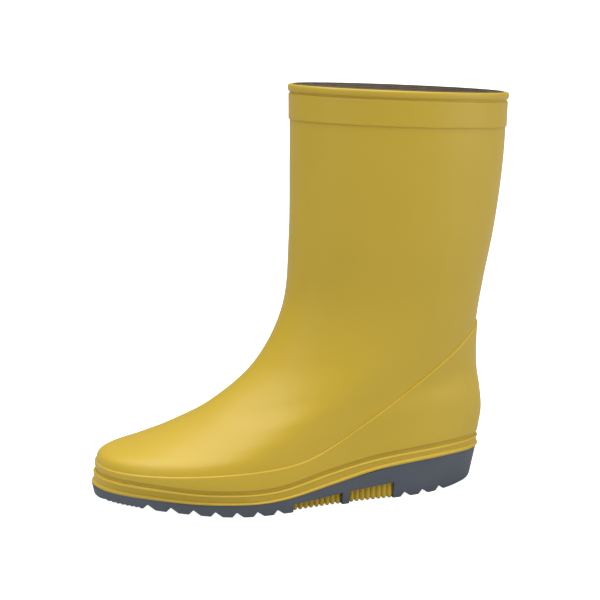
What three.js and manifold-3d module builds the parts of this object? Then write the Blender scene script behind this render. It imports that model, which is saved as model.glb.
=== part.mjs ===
// Rubber rain boot for a left foot, mid-calf height, laid up from separate pieces.
// Millimetres. +X runs to the toe, +Y to the outer side of the foot, +Z up; z = 0 is the ground.
// Every layer of the boot is an offset of one surface, the outside of the rubber shell, which is
// lofted through the sections in LAST. All layers share one net of points on that surface, so
// their facets stay parallel and a thin gap between two layers stays open everywhere.

import * as THREE from 'three';
import { mergeVertices } from 'three/addons/utils/BufferGeometryUtils.js';
import Module from 'manifold-3d';

const wasm = await Module();
wasm.setup();

// ---------------------------------------------------------------- overall sizes
const SOLE_LENGTH = 264;     // heel to toe along the feather line, where rubber meets sole
const FOOT_WIDTH = 91;       // across the shell at the ball
const LEG_WIDTH = 101;       // across the shell at the rim
const RIM_HEIGHT = 269;      // ground to the back of the rim
const RIM_RISE = 7;          // the front of the rim stands this much higher than the back
const HEEL_HEIGHT = 25.2;    // ground to the feather line at the heel
const BALL_HEIGHT = 9.7;     // ground to the feather line at the ball
const TOE_HEIGHT = 15;       // ground to the feather line at the toe
const CLEARANCE = 0.3;       // gap between pieces that touch on the real boot

// ---------------------------------------------------------------- the upper
const SHELL_WALL = 2;        // rubber of the leg and foot
const LINING_WALL = 1.2;     // knit of the leg lining
const SOCK_WALL = 1;         // knit of the foot lining
const STAY_WALL = 1;         // toe puff, heel counter and ankle patches
const LINING_SEAM = 138;     // height of the seam between the two linings
const OVERLAY_WALL = 1;      // raised panel round the foot
const GROOVE_WIDTH = 2.4;    // groove between that panel and the foxing
const RIDGE_HEIGHT = 30.2;   // its upper edge over the forefoot, above the ground
const RIDGE_SLOPE = 0.62;    // how steeply that edge climbs to the back of the heel
const RIDGE_TURN = 134;      // where it starts to climb, from the heel
const RIDGE_EASE = 7.5;      // how softly it turns
const FOXING_WALL = 1.5;     // band round the foot
const WELT_WALL = 2.4;       // bead under the foxing
const WELT_TOP = 2.3;        // its upper edge above the feather line
const BAND_WALL = 0.8;       // flat band under the rim
const BAND_HEIGHT = 15.4;
const BEAD_HEIGHT = 5.8;     // rolled bead over the rim
const BEAD_WALL = 1;
const LINING_EDGE = 0.6;     // the leg lining ends this far below the rim
const BEAD_GROOVE = 2;       // groove between bead and band

// ---------------------------------------------------------------- the bottom
const BOARD_WALL = 1.5;      // insole board
const SOLE_EDGE = 1.9;       // the sole stands out past the shell
const SOLE_DRAFT = 0.2;      // its side leans in by this much for each mm down
const HEEL_BEVEL = 2.6;      // extra lean at the bottom corner of the heel
const HEEL_BEVEL_HEIGHT = 3.2;
const HEEL_BEVEL_FADES = [20, 60];  // it fades out between these, from the heel
const CLEAT_PITCH = 13.7;    // from one groove to the next
const CLEAT_DEPTH = 3.4;
const CLEAT_STEEP = 2.6;     // run of the groove wall towards the toe
const CLEAT_FLAT = 4.8;      // run of the groove wall towards the heel
const FORE_GROOVES = 7;
const FORE_FIRST = 157.7;    // first forefoot groove, from the heel
const HEEL_GROOVES = 3;
const HEEL_FIRST = 37.9;     // first heel groove, from the heel
const TOE_TEETH = 8;         // fine teeth under the toe
const TOE_TOOTH_PITCH = 2.4;
const TOE_TOOTH_DEPTH = 0.8;
const TOE_TEETH_AFTER = 5;   // from the last groove to the first tooth
const WINDOW_FROM = 73.6;    // rear end of the rear window in the waist, from the heel
const WINDOW_REAR_TOP = 11.7;  // height of the window roof at that end
const WINDOW_SLOPE = 0.083;  // the roof falls towards the toe
const BAR_LENGTH = 5.1;      // grey bar between the two windows
const RIB_PITCH = 3.9;
const RIB_LAND = 2.2;        // thickness of one rib
const RIB_DEPTH = 1.5;
const RIB_MARGIN = 0.4;      // room at both ends of a row of ribs
const REAR_RIBS = 8;
const FRONT_RIBS = 9;
const PAD_RECESS = 3;        // pads lie this far inside the sole's side
const PAD_LIFT = 0.4;        // ribs end this far above the ground
const POCKET_MARGIN = 13;    // rim left round the pockets in the top of the sole
const FORE_POCKET = [160, 222];   // from the heel
const FORE_POCKET_DEPTH = 2;
const HEEL_POCKET = [16, 60];
const HEEL_POCKET_DEPTH = 14;
const SHANK_LENGTH = 84;
const SHANK_WIDTH = 14;
const SHANK_WALL = 1.2;
const SHANK_FROM = 66;       // its rear end, from the heel
const INSOLE_WALL = 4;       // loose insole
const INSOLE_PLAY = 1.5;     // room round it

// ---------------------------------------------------------------- the last
// Sections of the shell's outside from the feather line to the rim. Each is a superellipse
// whose front and back ends are given; heights of the low ones are counted from the sole line.
const BASE_LENGTH = 264;
const BASE_FOOT = 91;
const BASE_LEG = 101;
const BASE_RIM = 269;
const ANKLE = 120;           // above this the sections follow the height of the leg
const LAST = [
  // front x, height; back x, height; widest at; half width outer, inner; fullness front, back;
  // share of the sole line in the height; swing of the toe to the inner side
  [266, 0, 2, 0, 0.60, 46, 45, 2.1, 2.6, 1, -10],
  [265, 10, 0, 12.5, 0.66, 46.5, 45.5, 2.3, 2.6, 1, -10],
  [262.5, 22.5, -2.5, 28, 0.65, 45.5, 44.5, 2.3, 2.5, 0.9, -10],
  [242, 32, -1.5, 45.6, 0.62, 44, 43, 2.2, 2.4, 0.75, -9],
  [220, 43, 0.5, 65.5, 0.57, 42, 41, 2.1, 2.2, 0.55, -8],
  [190, 60.2, 1, 87.4, 0.50, 40, 39, 2, 2.1, 0.35, -6],
  [158, 88.6, 0, 112.3, 0.45, 39, 38, 2, 2, 0.15, -4],
  [138.5, 128, -4, 142, 0.45, 40, 39, 2, 2, 0, -2],
  [134, 175, -11, 180, 0.48, 45, 44, 2, 2, 0, 0],
  [133, 225, -16, 224, 0.50, 49, 48, 2, 2, 0, 0],
  [133, BASE_RIM + RIM_RISE, -17.5, BASE_RIM, 0.50, 51, 50, 2, 2, 0, 0],
];
const [RIM_FRONT, , RIM_BACK] = LAST.at(-1);
const LEG_SECTIONS_FROM = 8;
const WAIST_AT = 105;        // the outline is drawn in round here
const WAIST_REACH = 38;
const WAIST_OUTER = 0.10;
const WAIST_INNER = 0.22;
const AROUND = 32;           // points round each contour
const LEVELS = [0, 0.07, 0.13, 0.18, 0.23, 0.29, 0.36, 0.45, 0.55, 0.65, 0.76, 0.89, 1];

const lengthGrade = SOLE_LENGTH / BASE_LENGTH;
const footGrade = FOOT_WIDTH / BASE_FOOT;
const legGrade = LEG_WIDTH / BASE_LEG;
const heightGrade = (RIM_HEIGHT - ANKLE) / (BASE_RIM - ANKLE);

/** A place along the sole, given for the base length. */
const along = (x) => x * lengthGrade;
const legHeight = (z) => (z > ANKLE ? ANKLE + (z - ANKLE) * heightGrade : z);

/** Uniform Catmull-Rom through equally spaced rows of numbers, t from 0 to 1. */
function throughRows(rows, t) {
  const last = rows.length - 1;
  const place = THREE.MathUtils.clamp(t, 0, 1) * last;
  const i = Math.min(Math.floor(place), last - 1);
  const f = place - i;
  const row = (k) => rows[THREE.MathUtils.clamp(k, 0, last)];
  return rows[0].map((_, c) => {
    const p1 = row(i)[c];
    const p2 = row(i + 1)[c];
    const p0 = i === 0 ? 2 * p1 - p2 : row(i - 1)[c];
    const p3 = i + 1 === last ? 2 * p2 - p1 : row(i + 2)[c];
    const bend = (2 * p0 - 5 * p1 + 4 * p2 - p3) * f * f;
    const twist = (-p0 + 3 * p1 - 3 * p2 + p3) * f * f * f;
    return 0.5 * (2 * p1 + (p2 - p0) * f + bend + twist);
  });
}

/** Height of the feather line above the ground, in even steps from the heel. */
const SOLE_KNOTS = [
  HEEL_HEIGHT, HEEL_HEIGHT + 0.8, HEEL_HEIGHT - 1.7, (HEEL_HEIGHT + BALL_HEIGHT) / 2 - 1.5,
  BALL_HEIGHT, BALL_HEIGHT + 1.4, TOE_HEIGHT - 0.5, TOE_HEIGHT + 0.5,
].map((z) => [z]);
const SOLE_KNOT_STEP = 40;
const soleSpan = along(SOLE_KNOT_STEP * (SOLE_KNOTS.length - 1));
const soleLine = (x) => throughRows(SOLE_KNOTS, x / soleSpan)[0];

/** Middle of the groove above the feather line, at the same places. */
const GROOVE_KNOTS = [8.9, 8.2, 8.4, 9.2, 7.8, 7.9, 9.1, 9.6].map((h) => [h]);
const grooveEdge = (side) => (x) =>
  soleLine(x) + throughRows(GROOVE_KNOTS, x / soleSpan)[0] + (side * GROOVE_WIDTH) / 2;

/** Height of the tread above the ground: flat, then toe spring from the ball forwards. */
const SPRING_FROM = 160;
const SPRING_KNOTS = [0, 0.4, 2, 4.4, 6.5, 8, 9].map((z) => [z]);
const SPRING_KNOT_STEP = 20;
const springSpan = along(SPRING_KNOT_STEP * (SPRING_KNOTS.length - 1));
const treadLine = (x) => throughRows(SPRING_KNOTS, (x - along(SPRING_FROM)) / springSpan)[0];

/** Height of the shell's rim. */
const rimLine = (x) => {
  const back = along(RIM_BACK);
  const front = along(RIM_FRONT);
  return RIM_HEIGHT + (RIM_RISE * heightGrade * (x - back)) / (front - back);
};

/** Upper edge of the raised panel: level over the forefoot, then climbing to the heel. */
const ridgeLine = (x) => {
  const climb = (RIDGE_SLOPE * (along(RIDGE_TURN) - x)) / RIDGE_EASE;
  return RIDGE_HEIGHT + RIDGE_EASE * Math.log(1 + Math.exp(climb));
};

const sections = LAST.map((row, k) => {
  const [frontX, frontZ, backX, backZ, belly, outer, inner, ...rest] = row;
  const wide = k < LEG_SECTIONS_FROM ? footGrade : legGrade;
  const ends = [along(frontX), legHeight(frontZ), along(backX), legHeight(backZ)];
  return [...ends, belly, outer * wide, inner * wide, ...rest];
});

/** Point of the shell's outside: turn 0 is the toe end, a quarter turn the outer side. */
function onShell(turn, level) {
  const [frontX, frontZ, backX, backZ, belly, outer, inner, powerFront, powerBack, share, swing] =
    throughRows(sections, level);
  const middle = backX + (frontX - backX) * belly;
  const cos = Math.cos(turn);
  const sin = Math.sin(turn);
  const power = cos >= 0 ? powerFront : powerBack;
  const reach = cos >= 0 ? frontX - middle : middle - backX;
  const x = middle + Math.sign(cos) * reach * Math.abs(cos) ** (2 / power);
  const half = sin >= 0 ? outer : inner;
  const pinch = Math.exp(-(((x - along(WAIST_AT)) / along(WAIST_REACH)) ** 2)) * share;
  const waist = 1 - pinch * (sin >= 0 ? WAIST_OUTER : WAIST_INNER);
  const forward = Math.max(0, (x - middle) / (frontX - middle));
  const y = Math.sign(sin) * half * Math.abs(sin) ** (2 / power) * waist + swing * forward ** 2;
  const run = (x - backX) / (frontX - backX);
  const z = backZ + (frontZ - backZ) * run + share * soleLine(x);
  return new THREE.Vector3(x, y, z);
}

/** Outward normal; level at both ends of the shell, so that edges stay square. */
function normalAt(turn, level) {
  const d = 0.004;
  const across = onShell(turn + d, level).sub(onShell(turn - d, level));
  const low = Math.max(0, level - d);
  const high = Math.min(1, level + d);
  const up = onShell(turn, high).sub(onShell(turn, low));
  const normal = across.cross(up).normalize();
  if (level === 0 || level === 1) normal.setZ(0).normalize();
  return normal;
}

const turns = Array.from({ length: AROUND }, (_, j) => (j * 2 * Math.PI) / AROUND);
const net = LEVELS.map((level) =>
  turns.map((turn) => ({ point: onShell(turn, level), normal: normalAt(turn, level) })));

const contour = (row, offset) =>
  net[row].map(({ point, normal }) => point.clone().addScaledVector(normal, offset));

/** Outline of the sole seen from above, grown by offset(x), at height(x). */
function outline(offset, height) {
  return net[0].map(({ point, normal }) => {
    const p = point.clone().addScaledVector(normal, offset(point.x));
    p.z = height(p.x);
    return p;
  });
}

// ---------------------------------------------------------------- solids
/** Closed mesh over rings of points. Capped across, or closed into a loop of rings.
 *  rising(k) says which way ring k + 1 lies, so that all layers split their facets alike. */
function overRings(rings, { loop = false, rising = () => true } = {}) {
  const n = AROUND;
  const position = rings.flat().flatMap((p) => [p.x, p.y, p.z]);
  const index = [];
  const strips = loop ? rings.length : rings.length - 1;
  for (let k = 0; k < strips; k++) {
    const here = k * n;
    const next = ((k + 1) % rings.length) * n;
    for (let j = 0; j < n; j++) {
      const a = here + j;
      const b = here + ((j + 1) % n);
      const c = next + ((j + 1) % n);
      const d = next + j;
      if (rising(k)) index.push(a, b, c, a, c, d);
      else index.push(a, b, d, b, c, d);
    }
  }
  if (!loop) {
    const top = (rings.length - 1) * n;
    for (let j = 0; j < n / 2; j++) {
      const right = (n - j) % n;
      const nextRight = n - j - 1;
      if (right !== j) index.push(top + j, top + j + 1, top + right, j, right, j + 1);
      if (nextRight !== j + 1) {
        index.push(top + j + 1, top + nextRight, top + right, j + 1, right, nextRight);
      }
    }
  }
  const geometry = new THREE.BufferGeometry();
  geometry.setAttribute('position', new THREE.Float32BufferAttribute(position, 3));
  geometry.setIndex(index);
  return toSolid(geometry);
}

function toSolid(geometry) {
  geometry.deleteAttribute('normal');
  geometry.deleteAttribute('uv');
  const merged = mergeVertices(geometry, 1e-5);
  const mesh = new wasm.Mesh({
    numProp: 3,
    vertProperties: new Float32Array(merged.attributes.position.array),
    triVerts: new Uint32Array(merged.index.array),
  });
  return new wasm.Manifold(mesh);
}

/** An offset of the shell, with a skirt below the feather line that each piece is cut from. */
const SKIRT = 6;
function rows(offset) {
  const skirt = contour(0, offset).map((p) => p.setZ(p.z - SKIRT));
  return [skirt, ...LEVELS.map((_, k) => contour(k, offset))];
}

/** A layer of the upper between two offsets of the shell's outside. */
function layer(inside, outside) {
  const outer = rows(outside);
  const inner = rows(inside).reverse();
  return overRings([...outer, ...inner], { loop: true, rising: (k) => k < outer.length });
}

/** The space inside an offset of the shell, closed below the feather line and at the rim. */
const core = (offset) => overRings(rows(offset));

// Well outside the boot on every side, in the base length.
const BEHIND = -40;
const AHEAD = 290;
const BESIDE = 90;
const ROUND_STEPS = 10;

/** A flat shape in the side view (x, z), running through the boot from y0 to y1. */
function throughSide(shape, y0 = -along(BESIDE), y1 = along(BESIDE)) {
  const geometry = new THREE.ExtrudeGeometry(shape, {
    depth: y1 - y0, bevelEnabled: false, curveSegments: ROUND_STEPS,
  });
  geometry.rotateX(Math.PI / 2);
  geometry.translate(0, y1, 0);
  return toSolid(geometry);
}

const SIDE_STEP = 14;
/** The side-view strip between two height lines, from x0 to x1. All strips bend at the same
 *  places, so that two which follow one line stay parallel. */
function strip(lower, upper, x0 = along(BEHIND), x1 = along(AHEAD), y0, y1) {
  const between = [];
  for (let x = (Math.floor(x0 / SIDE_STEP) + 1) * SIDE_STEP; x < x1; x += SIDE_STEP) {
    between.push(x);
  }
  const xs = [x0, ...between, x1];
  const edge = xs.map((x) => new THREE.Vector2(x, lower(x)));
  const back = xs.reverse().map((x) => new THREE.Vector2(x, upper(x)));
  return throughSide(new THREE.Shape([...edge, ...back]), y0, y1);
}
const aboveSole = (h) => (x) => soleLine(x) + h;
const belowRim = (h) => (x) => rimLine(x) - h;
const SKY = () => RIM_HEIGHT * 2;
const DEEP = () => -50;

const union = (list) => list.reduce((sum, one) => sum.add(one));

// ---------------------------------------------------------------- pieces of the upper
const insideShell = -SHELL_WALL - CLEARANCE;
const insideStay = insideShell - STAY_WALL - CLEARANCE;
const sockInside = insideStay - SOCK_WALL;
const floor = BOARD_WALL + CLEARANCE;                    // underside of the sock's foot
const insoleFloor = floor + SOCK_WALL + CLEARANCE;       // underside of the loose insole

function legShell() {
  return layer(-SHELL_WALL, 0)
    .intersect(strip(aboveSole(0), belowRim(BEAD_WALL + CLEARANCE)));
}

function sideOverlay() {
  return layer(CLEARANCE, CLEARANCE + OVERLAY_WALL)
    .intersect(strip(grooveEdge(1), ridgeLine));
}

function foxingStrip() {
  return layer(CLEARANCE, CLEARANCE + FOXING_WALL)
    .intersect(strip(aboveSole(WELT_TOP + CLEARANCE), grooveEdge(-1)));
}

function weltBead() {
  return layer(CLEARANCE, CLEARANCE + WELT_WALL)
    .intersect(strip(aboveSole(0), aboveSole(WELT_TOP)));
}

function topBand() {
  const top = BEAD_HEIGHT + BEAD_GROOVE;
  return layer(CLEARANCE, CLEARANCE + BAND_WALL)
    .intersect(strip(belowRim(top + BAND_HEIGHT), belowRim(top)));
}

/** The rolled bead is an angle that sits over the edge of the shell. */
function rimBead() {
  const over = layer(-SHELL_WALL, CLEARANCE + BEAD_WALL)
    .intersect(strip(belowRim(BEAD_HEIGHT), SKY));
  const seat = layer(insideShell, CLEARANCE).intersect(strip(DEEP, belowRim(BEAD_WALL)));
  return over.subtract(seat);
}

function liningLeg() {
  return layer(insideShell - LINING_WALL, insideShell)
    .intersect(strip(() => LINING_SEAM + CLEARANCE, belowRim(LINING_EDGE)));
}

/** The foot lining is a sock: its foot part is closed under the insole. */
function liningFoot() {
  const outside = core(insideStay).intersect(strip(aboveSole(floor), () => LINING_SEAM));
  const inside = core(sockInside).intersect(strip(aboveSole(floor + SOCK_WALL), SKY));
  return outside.subtract(inside);
}

const stay = () => layer(insideShell - STAY_WALL, insideShell);

const PUFF_FROM = 222;       // rear edge of the toe puff at the sole, from the heel
const PUFF_LEAN = 0.5;       // its edge leans back towards the instep
const PUFF_BEND = 245;       // its lower edge follows the sole line through here
const PUFF_REACH = 60;       // the edge is drawn this far up, past the top of the toe
function toePuff() {
  const rear = along(PUFF_FROM);
  const shape = new THREE.Shape([
    new THREE.Vector2(rear, soleLine(rear) + floor),
    new THREE.Vector2(along(PUFF_BEND), soleLine(along(PUFF_BEND)) + floor),
    new THREE.Vector2(along(AHEAD), soleLine(along(AHEAD)) + floor),
    new THREE.Vector2(along(AHEAD), soleLine(rear) + PUFF_REACH),
    new THREE.Vector2(rear - PUFF_LEAN * PUFF_REACH, soleLine(rear) + PUFF_REACH),
  ]);
  return stay().intersect(throughSide(shape));
}

const COUNTER_LENGTH = 66;   // from the back of the heel, along the sole
const COUNTER_TOP = 78;      // its height at the back; its front is lower by COUNTER_FALL
const COUNTER_FALL = 24;
function heelCounter() {
  const front = along(COUNTER_LENGTH);
  const top = (x) => COUNTER_TOP - COUNTER_FALL * Math.max(0, x / front);
  return stay().intersect(strip(aboveSole(floor), top, along(BEHIND), front));
}

const PATCH_AT = [64, 104];  // ankle bone
const PATCH_SIZE = [25, 21]; // half axes
function anklePatch(side) {
  const shape = new THREE.Shape();
  shape.absellipse(along(PATCH_AT[0]), PATCH_AT[1], PATCH_SIZE[0], PATCH_SIZE[1], 0, Math.PI * 2);
  const [y0, y1] = side > 0 ? [0, along(BESIDE)] : [-along(BESIDE), 0];
  return stay().intersect(throughSide(shape, y0, y1));
}

// ---------------------------------------------------------------- pieces of the bottom
const soleTop = aboveSole(-CLEARANCE);
const plan = (inset) => overRings([outline(() => -inset, DEEP), outline(() => -inset, SKY)]);
const windowRoof = (x) => WINDOW_REAR_TOP - WINDOW_SLOPE * (x - along(WINDOW_FROM));

const windowLength = (ribs) => ribs * RIB_PITCH + 2 * RIB_MARGIN;
const rearWindow = [along(WINDOW_FROM), along(WINDOW_FROM) + windowLength(REAR_RIBS)];
const frontWindow = [rearWindow[1] + BAR_LENGTH];
frontWindow.push(frontWindow[0] + windowLength(FRONT_RIBS));

const POCKET_WALL = 3;       // sole left between the shank's slot and the forefoot pocket
const POCKET_OPEN = 5;       // pockets are cut this far up, out of the sole's top
const shankSlot = SHANK_WALL + CLEARANCE;
const shankSpan = [along(SHANK_FROM), along(SHANK_FROM) + SHANK_LENGTH];
const foreSpan = [Math.max(along(FORE_POCKET[0]), shankSpan[1] + POCKET_WALL), along(FORE_POCKET[1])];
const heelSpan = [along(HEEL_POCKET[0]), along(HEEL_POCKET[1])];

/** A filler and the pocket it lies in are the same shape, apart from the clearance. */
function pocket([x0, x1], depth, gap) {
  const bottom = aboveSole(-depth + gap);
  const top = gap > 0 ? aboveSole(-CLEARANCE) : aboveSole(POCKET_OPEN);
  return plan(POCKET_MARGIN + gap).intersect(strip(bottom, top, x0 + gap, x1 - gap));
}

function shankIn(gap) {
  const half = SHANK_WIDTH / 2 - gap;
  const top = gap > 0 ? aboveSole(-CLEARANCE) : aboveSole(POCKET_OPEN);
  const bottom = aboveSole(-shankSlot - CLEARANCE + gap);
  return strip(bottom, top, shankSpan[0] + gap, shankSpan[1] - gap, -half, half);
}

const CUT_SPARE = 4;         // cuts start this far under the tread
/** One V groove across the tread, steeper on the side towards the toe. */
function grooveAt(x) {
  const z = treadLine(x);
  const steep = x + CLEAT_STEEP;
  const flat = x - CLEAT_FLAT;
  const shape = new THREE.Shape([
    new THREE.Vector2(x, z + CLEAT_DEPTH),
    new THREE.Vector2(flat, treadLine(flat)),
    new THREE.Vector2(flat, z - CUT_SPARE),
    new THREE.Vector2(steep, z - CUT_SPARE),
    new THREE.Vector2(steep, treadLine(steep)),
  ]);
  return throughSide(shape);
}

function toothAt(x) {
  const z = treadLine(x);
  const half = TOE_TOOTH_PITCH / 2;
  const shape = new THREE.Shape([
    new THREE.Vector2(x, z + TOE_TOOTH_DEPTH),
    new THREE.Vector2(x - half, z - TOE_TOOTH_DEPTH),
    new THREE.Vector2(x + half, z - TOE_TOOTH_DEPTH),
  ]);
  return throughSide(shape);
}

const SOLE_SPARE = 1.5;      // the loft runs past the tread and the top, and is cut off there
function outsole() {
  const lean = (x, up) => SOLE_EDGE - SOLE_DRAFT * (soleLine(x) - treadLine(x) - up);
  const [full, none] = HEEL_BEVEL_FADES.map(along);
  const heelOnly = (x) => 1 - THREE.MathUtils.smoothstep(x, full, none);
  const bevel = (HEEL_BEVEL * (HEEL_BEVEL_HEIGHT + SOLE_SPARE)) / HEEL_BEVEL_HEIGHT;
  const tread = outline(
    (x) => lean(x, -SOLE_SPARE) - bevel * heelOnly(x),
    (x) => treadLine(x) - SOLE_SPARE,
  );
  const corner = outline(
    (x) => lean(x, HEEL_BEVEL_HEIGHT),
    (x) => treadLine(x) + HEEL_BEVEL_HEIGHT,
  );
  const top = outline(() => SOLE_EDGE, aboveSole(SOLE_SPARE));
  const body = overRings([tread, corner, top]).intersect(strip(treadLine, soleTop));
  const grooves = [];
  for (let k = 0; k < FORE_GROOVES; k++) {
    grooves.push(grooveAt(along(FORE_FIRST) + k * along(CLEAT_PITCH)));
  }
  for (let k = 0; k < HEEL_GROOVES; k++) {
    grooves.push(grooveAt(along(HEEL_FIRST) + k * along(CLEAT_PITCH)));
  }
  const teethFrom = along(FORE_FIRST) + (FORE_GROOVES - 1) * along(CLEAT_PITCH) + TOE_TEETH_AFTER;
  for (let k = 0; k < TOE_TEETH; k++) grooves.push(toothAt(teethFrom + k * TOE_TOOTH_PITCH));
  const windows = [rearWindow, frontWindow].map(([x0, x1]) => strip(DEEP, windowRoof, x0, x1));
  const pockets = [
    pocket(heelSpan, HEEL_POCKET_DEPTH, 0),
    pocket(foreSpan, FORE_POCKET_DEPTH, 0),
    shankIn(0),
  ];
  return body.subtract(union([...grooves, ...windows, ...pockets]));
}

/** A ribbed pad fills a window; its ribs run across, and up both sides. */
function waistPad([x0, x1], ribs) {
  const roof = (x) => windowRoof(x) - CLEARANCE;
  const heart = plan(PAD_RECESS + RIB_DEPTH)
    .intersect(strip(() => PAD_LIFT + RIB_DEPTH, roof, x0 + CLEARANCE, x1 - CLEARANCE));
  const outside = plan(PAD_RECESS);
  const first = (x0 + x1 - (ribs - 1) * RIB_PITCH) / 2;
  const blades = Array.from({ length: ribs }, (_, k) => {
    const x = first + k * RIB_PITCH;
    return strip(() => PAD_LIFT, roof, x - RIB_LAND / 2, x + RIB_LAND / 2).intersect(outside);
  });
  return union([heart, ...blades]);
}

function insoleBoard() {
  return plan(-insideStay).intersect(strip(aboveSole(0), aboveSole(BOARD_WALL)));
}

function insole() {
  return plan(-sockInside + INSOLE_PLAY)
    .intersect(strip(aboveSole(insoleFloor), aboveSole(insoleFloor + INSOLE_WALL)));
}

// ---------------------------------------------------------------- finishes
const yellow = { color: 0xc9a93c, roughness: 0.42, metalness: 0 };
const grey = { color: 0x555c64, roughness: 0.6, metalness: 0 };
const knit = { color: 0x6b5c50, roughness: 0.95, metalness: 0 };
const fibre = { color: 0xb59a74, roughness: 0.9, metalness: 0 };
const stiffener = { color: 0x2e2b28, roughness: 0.8, metalness: 0 };
const foam = { color: 0xd8d2c4, roughness: 0.9, metalness: 0 };
const steel = { color: 0x9aa0a6, roughness: 0.35, metalness: 1 };

const boot = new THREE.Group();

function add(name, solid, finish) {
  const mesh = solid.getMesh();
  const geometry = new THREE.BufferGeometry();
  geometry.setAttribute('position', new THREE.BufferAttribute(mesh.vertProperties, 3));
  geometry.setIndex(new THREE.BufferAttribute(mesh.triVerts, 1));
  const piece = new THREE.Mesh(geometry, new THREE.MeshStandardMaterial(finish));
  piece.name = name;
  boot.add(piece);
}

add('leg_shell', legShell(), yellow);
add('side_overlay', sideOverlay(), yellow);
add('foxing_strip', foxingStrip(), yellow);
add('welt_bead', weltBead(), yellow);
add('top_band', topBand(), yellow);
add('rim_bead', rimBead(), yellow);
add('lining_leg', liningLeg(), knit);
add('lining_foot', liningFoot(), knit);
add('toe_puff', toePuff(), stiffener);
add('heel_counter', heelCounter(), stiffener);
add('ankle_patch_outer', anklePatch(1), stiffener);
add('ankle_patch_inner', anklePatch(-1), stiffener);
add('outsole', outsole(), grey);
add('waist_pad_rear', waistPad(rearWindow, REAR_RIBS), yellow);
add('waist_pad_front', waistPad(frontWindow, FRONT_RIBS), yellow);
add('insole_board', insoleBoard(), fibre);
add('shank', shankIn(CLEARANCE), steel);
add('heel_filler', pocket(heelSpan, HEEL_POCKET_DEPTH, CLEARANCE), foam);
add('forefoot_filler', pocket(foreSpan, FORE_POCKET_DEPTH, CLEARANCE), foam);
add('insole', insole(), foam);

// The origin is on the ground, under the middle of the boot's box.
const box = new THREE.Box3().setFromObject(boot);
const middle = box.getCenter(new THREE.Vector3());
boot.position.set(-middle.x, -middle.y, 0);

export default boot;
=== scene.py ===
# %% [markdown]
# # A rubber rain boot, layer by layer
# A rain boot is built on a last, the solid foot that gives it its shape. Everything you see is
# that one surface seen at a different depth: the rubber skin lies on it, the raised panel and
# the bands stand a millimetre or two proud of it, and the knit lining lies a few millimetres
# inside. So this script makes the last once, as a formula, and then cuts every piece from it.
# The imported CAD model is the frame: it gives the place and the size, and each piece below
# takes the place of one CAD solid.

# %% Load the frame
import math

import bmesh
import bpy
import numpy as np
from mathutils import Matrix, Vector


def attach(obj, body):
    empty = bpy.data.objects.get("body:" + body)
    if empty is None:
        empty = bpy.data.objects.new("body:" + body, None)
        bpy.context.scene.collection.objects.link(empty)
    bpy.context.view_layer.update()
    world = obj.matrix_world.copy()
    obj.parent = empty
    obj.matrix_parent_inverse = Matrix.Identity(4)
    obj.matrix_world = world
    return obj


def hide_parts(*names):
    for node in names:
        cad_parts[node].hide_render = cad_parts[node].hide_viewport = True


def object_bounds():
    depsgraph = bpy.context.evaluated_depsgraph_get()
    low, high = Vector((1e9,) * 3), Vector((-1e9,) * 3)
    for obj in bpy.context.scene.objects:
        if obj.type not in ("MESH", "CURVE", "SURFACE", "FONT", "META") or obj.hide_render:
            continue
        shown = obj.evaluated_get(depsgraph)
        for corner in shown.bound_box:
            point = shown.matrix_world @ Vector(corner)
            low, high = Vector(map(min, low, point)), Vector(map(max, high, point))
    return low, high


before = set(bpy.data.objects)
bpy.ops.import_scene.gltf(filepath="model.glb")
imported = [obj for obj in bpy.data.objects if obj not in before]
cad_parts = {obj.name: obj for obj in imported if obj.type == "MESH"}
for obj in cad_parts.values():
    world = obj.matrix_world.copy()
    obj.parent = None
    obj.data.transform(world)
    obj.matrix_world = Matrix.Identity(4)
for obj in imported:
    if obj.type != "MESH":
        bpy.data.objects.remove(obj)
cad_low, cad_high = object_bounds()
MM = 0.001
print("CAD box in mm:", [round(v / MM, 1) for v in (*cad_low, *cad_high)])

# %% [markdown]
# ## The last
# Shoemakers describe a last by sections. Here each section is a superellipse that runs from
# the toe end to the heel end, and eleven of them climb from the feather line, where the upper
# meets the sole, to the rim. A smooth curve through the rows fills in what lies between.
# The alternative is to sculpt a mesh by hand; sections are easier to measure and to change.

# %% Sections of the last
SECTIONS = [
    # front x, height; back x, height; widest at; half width outer, inner;
    # fullness front, back; share of the sole line; swing of the toe to the inner side
    (266, 0, 2, 0, 0.60, 46, 45, 2.1, 2.6, 1, -10),
    (265, 10, 0, 12.5, 0.66, 46.5, 45.5, 2.3, 2.6, 1, -10),
    (262.5, 22.5, -2.5, 28, 0.65, 45.5, 44.5, 2.3, 2.5, 0.9, -10),
    (242, 32, -1.5, 45.6, 0.62, 44, 43, 2.2, 2.4, 0.75, -9),
    (220, 43, 0.5, 65.5, 0.57, 42, 41, 2.1, 2.2, 0.55, -8),
    (190, 60.2, 1, 87.4, 0.50, 40, 39, 2, 2.1, 0.35, -6),
    (158, 88.6, 0, 112.3, 0.45, 39, 38, 2, 2, 0.15, -4),
    (138.5, 128, -4, 142, 0.45, 40, 39, 2, 2, 0, -2),
    (134, 175, -11, 180, 0.48, 45, 44, 2, 2, 0, 0),
    (133, 225, -16, 224, 0.50, 49, 48, 2, 2, 0, 0),
    (133, 276, -17.5, 269, 0.50, 51, 50, 2, 2, 0, 0),
]
SOLE_KNOTS = [25.2, 26, 23.5, 15.95, 9.7, 11.1, 14.5, 15.5]   # feather line, every 40 mm
GROOVE_KNOTS = [8.9, 8.2, 8.4, 9.2, 7.8, 7.9, 9.1, 9.6]        # the groove above it
SOLE_SPAN = 280
SPRING_KNOTS = [0, 0.4, 2, 4.4, 6.5, 8, 9]              # tread, every 20 mm from SPRING_FROM
SPRING_FROM, SPRING_SPAN = 160, 120
WAIST_AT, WAIST_REACH, WAIST_OUTER, WAIST_INNER = 105, 38, 0.10, 0.22
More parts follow.
